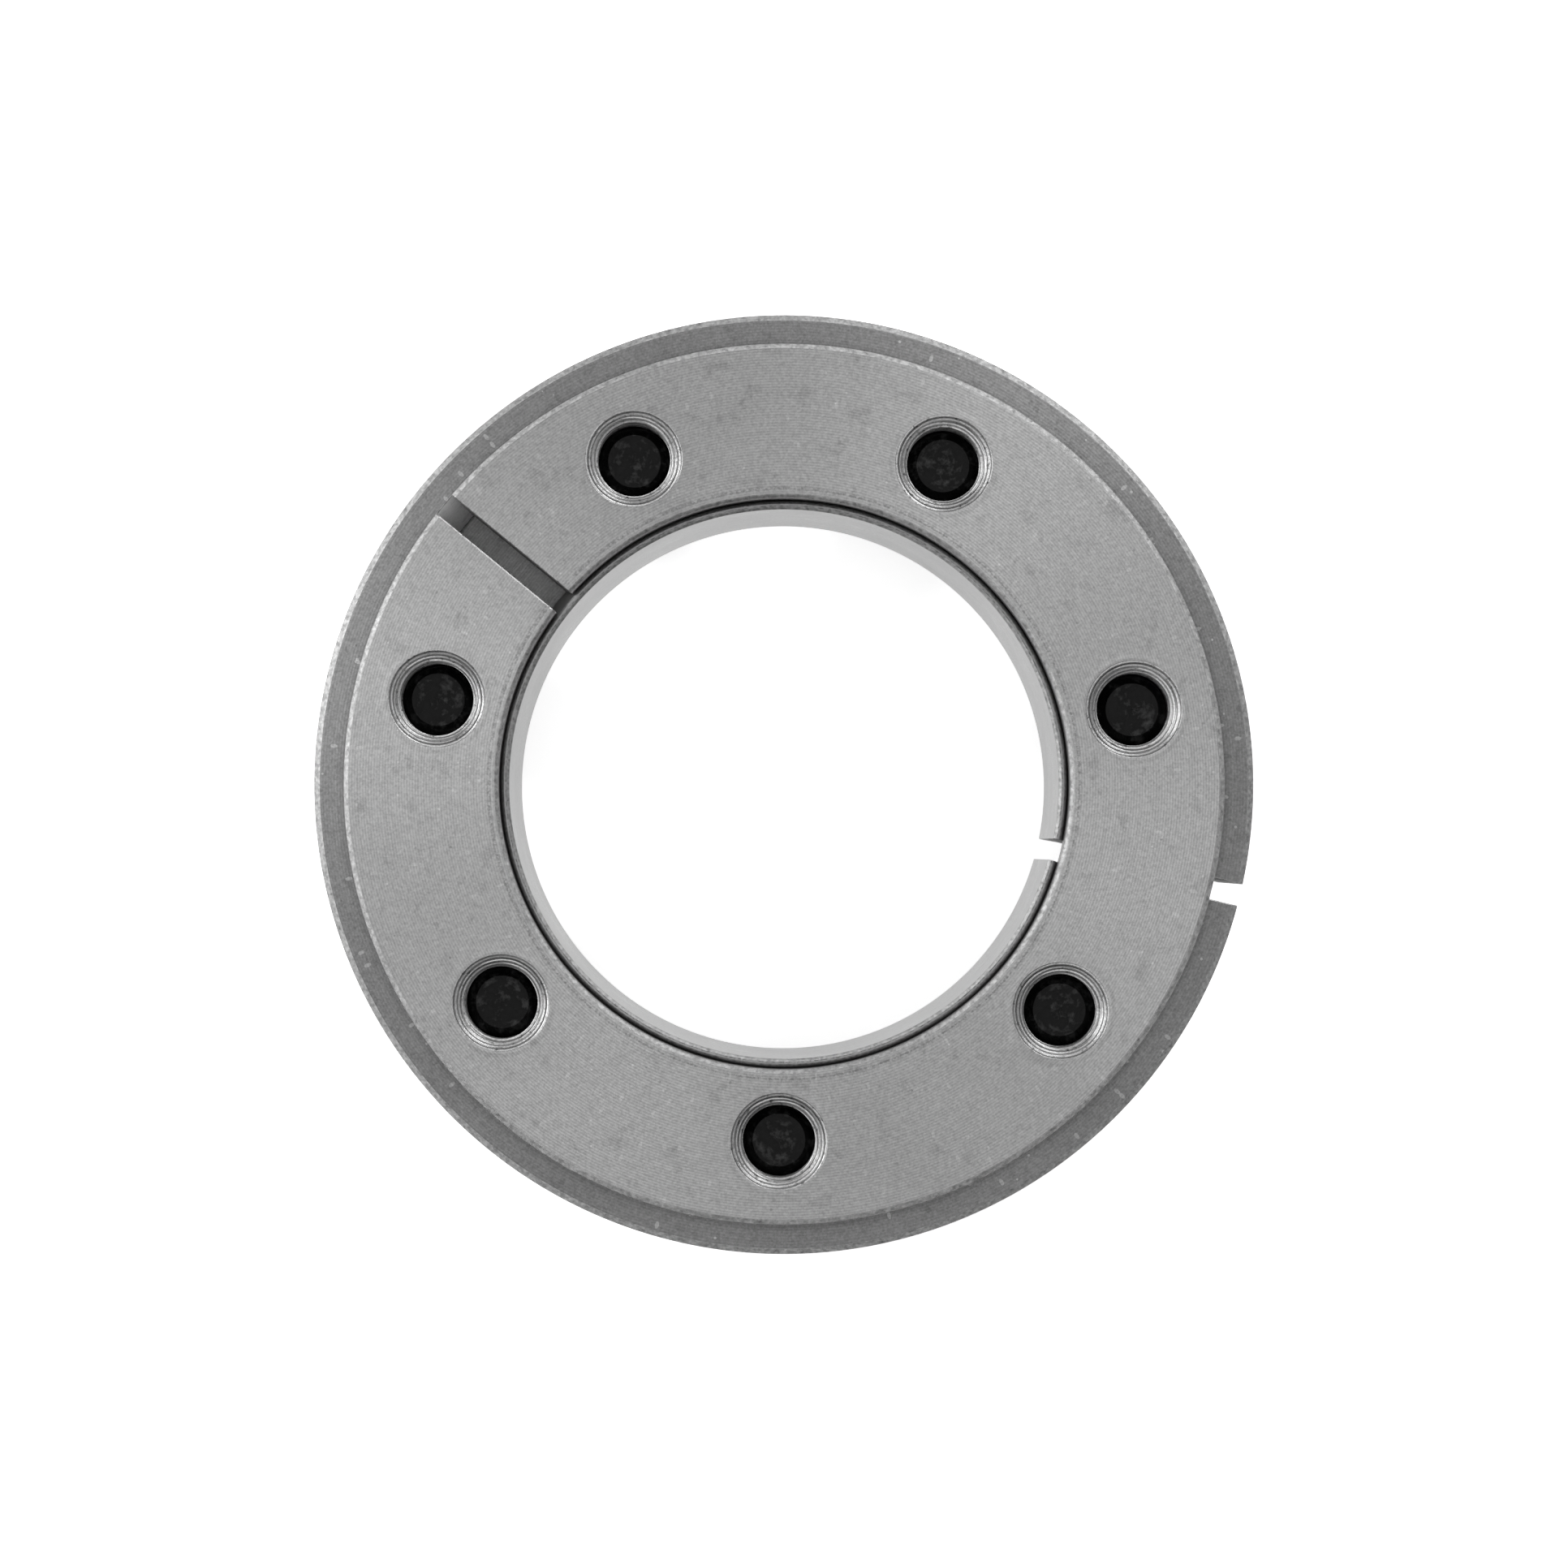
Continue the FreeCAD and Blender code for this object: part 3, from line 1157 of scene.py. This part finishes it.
@dataclass
class CapScrew:
    """M6 x 18 socket head cap screw with a knurled head, standing on its head about Z.

    The neck is the thread's run-out under the head, and the tip is chamfered at 45 degrees down to tip_r. The
    overlaps are how far its shapes run into each other before they are joined or cut.
    """

    head_r: float = 5.0
    head_height: float = 6.0
    head_edge: float = 0.5
    knurl_teeth: int = 60
    knurl_steps: int = 4
    knurl_depth: float = 0.16
    knurl_play: float = 0.02
    top_step: float = 0.1
    across_flats: float = 5.0
    socket_depth: float = 3.1
    socket_edge: float = 0.25
    socket_play: float = 0.02
    point_half_angle: float = 60.0
    core_r: float = 2.387
    crest_r: float = 2.97
    root_half: float = 0.0965
    tip: float = 24.0
    tip_r: float = 1.82
    neck: float = 6.6
    neck_r: float = 2.62
    neck_run: float = 0.5
    overlap: float = 1.0
    mouth_overlap: float = 0.6
    steps: int = 96

    def build(self) -> bmesh.types.BMesh:
        """Build the screw: its rod, its head, and the socket out of it.

        Returns:
            The screw as one closed mesh.
        """
        thread = Thread(core_r=self.core_r, crest_r=self.crest_r, root_half=self.root_half)
        rod = thread.rod(self.head_height - self.overlap, self.tip)
        for vert in rod.verts:
            reach = vert.co.xy.length
            allowed = self.tip_r + (self.tip - vert.co.z)
            if vert.co.z < self.neck + self.neck_run:
                allowed = min(allowed, self.neck_r + max(0.0, vert.co.z - self.neck))
            if reach > allowed:
                vert.co.xy = vert.co.xy * (allowed / reach)
        screw = Shaper.carved(self._head(), rod, Carving.JOIN)
        return Shaper.carved(screw, self._socket(), Carving.CUT)

    def _head(self) -> bmesh.types.BMesh:
        """Build the head, whose grip stands proud of its rounded ends and is knurled straight.

        Returns:
            The head as a closed mesh.
        """
        # The corners' heights and drops are shares of the head's edge, and the knurl's those of its depth.
        inner = self.head_r - self.knurl_depth - self.knurl_play
        line = [
            (0.0, 0.0),
            (self.head_r - self.head_edge, 0.0),
            (self.head_r - 0.35 * self.head_edge, 0.3 * self.head_edge),
            (inner, 1.1 * self.head_edge),
            (self.head_r, 1.5 * self.head_edge),
            (self.head_r, self.head_height - 0.5 * self.head_edge),
            (inner, self.head_height - 0.15 * self.head_edge),
            (inner - self.top_step, self.head_height),
            (0.0, self.head_height),
        ]
        steps = self.knurl_teeth * self.knurl_steps
        head = Shaper.lathe(line, steps)
        grip_r = self.head_r - self.knurl_play / 2.0
        for vert in head.verts:
            reach = vert.co.xy.length
            if reach > grip_r:
                phase = round(math.atan2(vert.co.y, vert.co.x) / (FULL_TURN / steps)) % self.knurl_steps
                drop = (0.0, 0.5, 1.0, 0.5)[phase] * self.knurl_depth
                vert.co.xy = vert.co.xy * ((reach - drop) / reach)
        return head

    def _socket(self) -> bmesh.types.BMesh:
        """Build the hexagon that is taken out of the head, with its drilled point and its chamfered mouth.

        Returns:
            The socket's inside as a closed mesh.
        """
        corner = self.across_flats / math.sqrt(3.0)
        socket = bmesh.new()
        bmesh.ops.create_cone(
            socket, cap_ends=True, segments=6, radius1=corner, radius2=corner,
            depth=self.socket_depth + self.overlap,
            matrix=Matrix.Translation((0.0, 0.0, (self.socket_depth - self.overlap) / 2.0)))
        flat = self.across_flats / 2.0 - self.socket_play
        point_depth = flat / math.tan(math.radians(self.point_half_angle))
        point = Shaper.lathe([
            (0.0, self.overlap), (flat, self.overlap), (flat, self.socket_depth),
            (0.0, self.socket_depth + point_depth)], self.steps)
        open_r = corner + self.socket_edge
        mouth = Shaper.lathe([
            (0.0, -self.overlap), (open_r + self.mouth_overlap, -self.mouth_overlap),
            (0.0, open_r)], self.steps)
        return Shaper.carved(Shaper.carved(socket, point, Carving.JOIN), mouth, Carving.JOIN)


@dataclass(frozen=True)
class SoftBox:
    """Square lamp that looks at the set.

    Attributes:
        name: The lamp's name.
        azimuth: Degrees from +X.
        elevation: Degrees above the floor.
        distance: From the set's middle.
        size: Side of the square.
        radiance: Brightness of its face.
    """

    name: str
    azimuth: float
    elevation: float
    distance: float
    size: float
    radiance: float

    def hang(self, target: Vector) -> None:
        """Hang the lamp so that it looks at a place.

        Args:
            target: The place.
        """
        side = self.size * MM
        data = bpy.data.lights.new(self.name, "AREA")
        data.shape, data.size = "SQUARE", side
        # An even square's power is its radiance times its area times pi.
        data.energy = self.radiance * math.pi * side ** 2
        lamp = add_object(self.name, data)
        azimuth, elevation = math.radians(self.azimuth), math.radians(self.elevation)
        flat = math.cos(elevation) * self.distance
        offset = Vector((
            flat * math.cos(azimuth), flat * math.sin(azimuth), math.sin(elevation) * self.distance))
        lamp.location = (offset + target) * MM
        lamp.rotation_euler = offset.to_track_quat("Z", "Y").to_euler()


@dataclass
class Studio:
    """Plain pale floor, soft lights and the camera above the set.

    The floor and the room are white to the camera and dimmer to everything else. Metal that mirrors the floor
    sees it glow under the set: fully within glow_full_r of the axis, and no more from glow_end_r on.
    """

    eye: tuple[float, float, float] = (-1.443, -4.352, 336.07)
    target: tuple[float, float, float] = (-0.005, -0.010, 24.07)
    lens: float = 103.66
    sensor: float = 36.0
    clip_start: float = 10.0
    floor_half: float = 900.0
    floor_drop: float = 0.02
    paper: str = "F2F2F2"
    white: str = "FFFFFF"
    sky: float = 0.2
    glow: float = 0.75
    mirrored_glow: float = 0.58
    glow_full_r: float = 20.0
    glow_end_r: float = 34.0
    lamps: tuple[SoftBox, ...] = (
        SoftBox("key_left", azimuth=165.0, elevation=23.0, distance=620.0, size=380.0, radiance=6.2),
        SoftBox("key_right", azimuth=57.0, elevation=23.0, distance=620.0, size=320.0, radiance=6.2),
        SoftBox("overhead", azimuth=90.0, elevation=88.0, distance=800.0, size=640.0, radiance=1.75),
    )

    def build(self) -> None:
        """Build floor, world, lamps and camera."""
        self._floor()
        self._world()
        for lamp in self.lamps:
            lamp.hang(Vector(self.target))
        self._camera()

    def _floor(self) -> None:
        """Lay a white paper floor that shows white and keeps a faint shadow."""
        mesh = bmesh.new()
        bmesh.ops.create_grid(mesh, x_segments=1, y_segments=1, size=self.floor_half * MM)
        bmesh.ops.translate(mesh, verts=list(mesh.verts), vec=(0.0, 0.0, -self.floor_drop * MM))
        data = settled(mesh, "floor")
        floor = add_object("floor", data)
        # Uncoated white paper: matt, and a shade under pure white.
        material = bpy.data.materials.new("white_paper")
        tree = empty_tree(material)
        paper = add_node(tree, "ShaderNodeBsdfDiffuse", {"Color": linear_colour(self.paper)})
        seen = add_node(tree, "ShaderNodeLightPath")
        place = add_node(tree, "ShaderNodeTexCoord").outputs["Object"]
        away = add_node(tree, "ShaderNodeVectorMath", {"operation": "LENGTH"}, {0: place})
        under = add_node(
            tree, "ShaderNodeMapRange",
            {"From Min": self.glow_full_r * MM, "From Max": self.glow_end_r * MM,
             "To Min": self.mirrored_glow, "To Max": 0.0},
            {"Value": away.outputs["Value"]})
        bent = add_node(
            tree, "ShaderNodeMath", {"operation": "MAXIMUM"},
            {0: seen.outputs["Is Glossy Ray"], 1: seen.outputs["Is Transmission Ray"]})
        mirrored = add_node(
            tree, "ShaderNodeMath", {"operation": "MULTIPLY"}, {0: under.outputs[0], 1: bent.outputs[0]})
        strength = add_node(
            tree, "ShaderNodeMath", {"operation": "MULTIPLY_ADD", 1: self.glow},
            {0: seen.outputs["Is Camera Ray"], 2: mirrored.outputs[0]})
        glow = add_node(
            tree, "ShaderNodeEmission", {"Color": linear_colour(self.white)},
            {"Strength": strength.outputs[0]})
        lit = add_node(tree, "ShaderNodeAddShader", links={0: paper.outputs[0], 1: glow.outputs[0]})
        add_node(tree, "ShaderNodeOutputMaterial", links={"Surface": lit.outputs[0]})
        data.materials.append(material)

    def _world(self) -> None:
        """Surround the set with an even pale room, which the camera sees as white."""
        world = bpy.data.worlds.new("studio")
        bpy.context.scene.world = world
        tree = empty_tree(world)
        seen = add_node(tree, "ShaderNodeLightPath")
        strength = add_node(
            tree, "ShaderNodeMapRange", {"To Min": self.sky, "To Max": 1.0},
            {"Value": seen.outputs["Is Camera Ray"]})
        room = add_node(
            tree, "ShaderNodeBackground", {"Color": linear_colour(self.white)},
            {"Strength": strength.outputs[0]})
        add_node(tree, "ShaderNodeOutputWorld", links={"Surface": room.outputs[0]})

    def _camera(self) -> None:
        """Put the camera where the photograph was taken from."""
        data = bpy.data.cameras.new("camera")
        data.lens, data.sensor_width, data.clip_start = self.lens, self.sensor, self.clip_start * MM
        camera = add_object("camera", data)
        eye, target = Vector(self.eye), Vector(self.target)
        back = (eye - target).normalized()
        right = Vector((0.0, 1.0, 0.0)).cross(back).normalized()
        upward = back.cross(right)
        turn = Matrix((right, upward, back)).transposed()
        camera.matrix_world = Matrix.Translation(eye * MM) @ turn.to_4x4()
        bpy.context.scene.camera = camera
        bpy.context.scene.view_settings.view_transform = "Standard"


def ring_finishes(name: str, faced: SteelFinish, taper: SteelFinish) -> RingFinishes:
    """Return the finishes of one ring.

    Args:
        name: The ring's short name, which starts its materials' names.
        faced: The finish of its end faces.
        taper: The finish of its cones.

    Returns:
        All its finishes.
    """
    return RingFinishes(
        faced=faced,
        # Ground seat: the finest marks, and the smoothest surface of the set.
        ground=SteelFinish(name + "_ground_steel", roughness=0.30, mark_pitch=0.08, mark_depth=0.002),
        # Sawn slit and its burr: fresh, bright metal with coarse marks, and dirt caught between them.
        sawn=SteelFinish(
            name + "_sawn_steel", colour="C6C6C6", roughness=0.45, mark_pitch=0.3, mark_depth=0.01,
            mark_contrast=0.2, smudge_size=0.35, smudge=0.7),
        # Countersunk and drilled: rings of chatter round each hole, bright where clean and dark with oil.
        # A film of oil keeps a quarter of it from looking like metal. The rings are 0.1 mm apart or less, and
        # drawn at 0.23 mm so that they show.
        drilled=SteelFinish(
            name + "_drilled_steel", colour="BCBCBC", metal=0.75, roughness=0.42, lay=Lay.HOLE,
            mark_pitch=0.2, mark_depth=0.05, mark_contrast=0.5, feed_pitch=0.23, feed_contrast=0.22,
            smudge_size=0.4, smudge=0.75),
        taper=taper,
        # Tumbled edges: peened by the stones, so pale and matt, with dents of 0.3 mm.
        tumbled=SteelFinish(
            name + "_tumbled_steel", colour="B8B8B8", roughness=0.65, mark_pitch=0.3, mark_contrast=0.2,
            grain_size=0.3, grain_contrast=0.3, smudge_size=0.5, smudge=0.35),
    )


def outer_finishes() -> RingFinishes:
    """Return the outer ring's finishes.

    Returns:
        All its finishes.
    """
    # Faced ends: darker than the other rings', and nicked all over.
    faced = SteelFinish(
        "outer_faced_steel", colour="8B8B8B", roughness=0.56, feed_pitch=0.2, feed_contrast=0.06,
        anisotropy=0.7, grain_contrast=0.2, speck_spacing=0.8, speck_light=0.8, smudge_size=0.8, smudge=0.2,
        nick_share=0.14, nick_light=0.6)
    # Cones: a near-white matt coat with sheen, a painted highlight for the light that they catch where the
    # slits show them almost edge-on.
    taper = SteelFinish(
        "outer_taper_steel", colour="F0F0F0", metal=0.0, roughness=0.6, mark_pitch=0.2, smudge=0.3, dust_and_sheen=1.0)
    return ring_finishes("outer", faced, taper)


def inner_finishes() -> RingFinishes:
    """Return the inner ring's finishes.

    Returns:
        All its finishes.
    """
    # Faced ends: thin bright rims with a painted dark line at mid wall, for the shade at the edge of the bore.
    faced = SteelFinish(
        "inner_faced_steel", colour="929292", roughness=0.5, feed_pitch=0.2, anisotropy=0.5, dark_ring_r=19.21,
        dark_ring_half=0.09, dark_ring_depth=0.8)
    # Cones: dark grey, a painted shade for the gap beside the rear ring's bore, with a little sheen as a
    # painted highlight where the slits show them.
    taper = SteelFinish("inner_taper_steel", colour="808080", metal=0.6, roughness=0.5, dust_and_sheen=0.15)
    return ring_finishes("inner", faced, taper)


def pressure_finishes(name: str, mouth_r: float, smudge: float) -> RingFinishes:
    """Return a pressure ring's finishes.

    Args:
        name: The ring's short name, which starts its materials' names.
        mouth_r: Radius of its holes' mouths at the flat face.
        smudge: How dark the oil smudges on its faces are.

    Returns:
        All its finishes.
    """
    # Faced ends: a feed spiral that fans the light out, a swell round every hole, and a darker broken ring
    # near the bore.
    faced = SteelFinish(
        name + "_faced_steel", roughness=0.52, feed_pitch=0.19, feed_contrast=0.08, anisotropy=0.66,
        speck_light=0.3, smudge_size=2.0, smudge=smudge, collar_r=mouth_r + SWELL_OUT, dark_ring_r=20.3)
    # Cones: smooth and dark.
    taper = SteelFinish(name + "_taper_steel", colour="808080", roughness=0.35)
    return ring_finishes(name, faced, taper)


def build_taper_rings() -> None:
    """Build the outer and the inner ring, whose slits lie in line."""
    cut = SawCut(width=1.5, angle=-13.7)
    outer = TaperRing(
        Piece("outer_ring", "clamped_rings", "turned_steel"), cut, seat_r=32.4996, lip_r=30.3946,
        ridge_r=29.2, seat_edge=0.4)
    outer.build(outer_finishes().make())
    inner = TaperRing(
        Piece("inner_ring", "clamped_rings", "turned_steel"), cut, seat_r=19.0, lip_r=19.5,
        ridge_r=20.6946, seat_edge=0.18, lip_edge=0.12, edge=0.045)
    inner.build(inner_finishes().make())


def build_pressure_rings(holes: ScrewHoles) -> None:
    """Build the front ring with its clearance holes and the rear one with its tapped holes.

    Args:
        holes: The shapes that drill and tap take out.
    """
    front = PressureRing(
        Piece("front_pressure_ring", "clamped_rings", "turned_steel"), SawCut(width=1.65, angle=346.3143),
        face_z=6.0, up=-1.0)
    front.build(
        [holes.drills(holes.clearance_r, holes.clearance_edge, front.face_z, front.up, front.width)],
        pressure_finishes("front", holes.clearance_r + holes.clearance_edge, 0.4).make())
    rear = PressureRing(
        Piece("rear_pressure_ring", "rear_ring", "turned_steel"), SawCut(width=1.65, angle=REAR_SLIT_ANGLE),
        face_z=26.0008, up=1.0)
    rear.build(
        [holes.drills(holes.tapped_r, holes.mouth, rear.face_z, rear.up, rear.width), holes.taps(rear)],
        pressure_finishes("rear", holes.tapped_r + holes.mouth, 0.18).make())


def build_screws(holes: ScrewHoles) -> None:
    """Build the cap screw once and put it in every hole.

    Args:
        holes: The holes, with the turn that each screw ended in.
    """
    blackened = BlackOxideFinish().make()
    screw = CapScrew().build()
    for index in range(HOLE_COUNT):
        number = index + 1
        piece = Piece("clamping_screw_%d" % number, "screw_%d" % number, "black_oxide_steel")
        piece.finish(holes.placed(screw.copy(), index), [blackened], crease=20.0)
    screw.free()


def main() -> None:
    """Build the set piece by piece, then the studio round it."""
    logging.basicConfig(level=logging.INFO, format="%(message)s")
    holes = ScrewHoles()
    build_taper_rings()
    build_pressure_rings(holes)
    build_screws(holes)
    Studio().build()


if __name__ == "__main__":
    main()
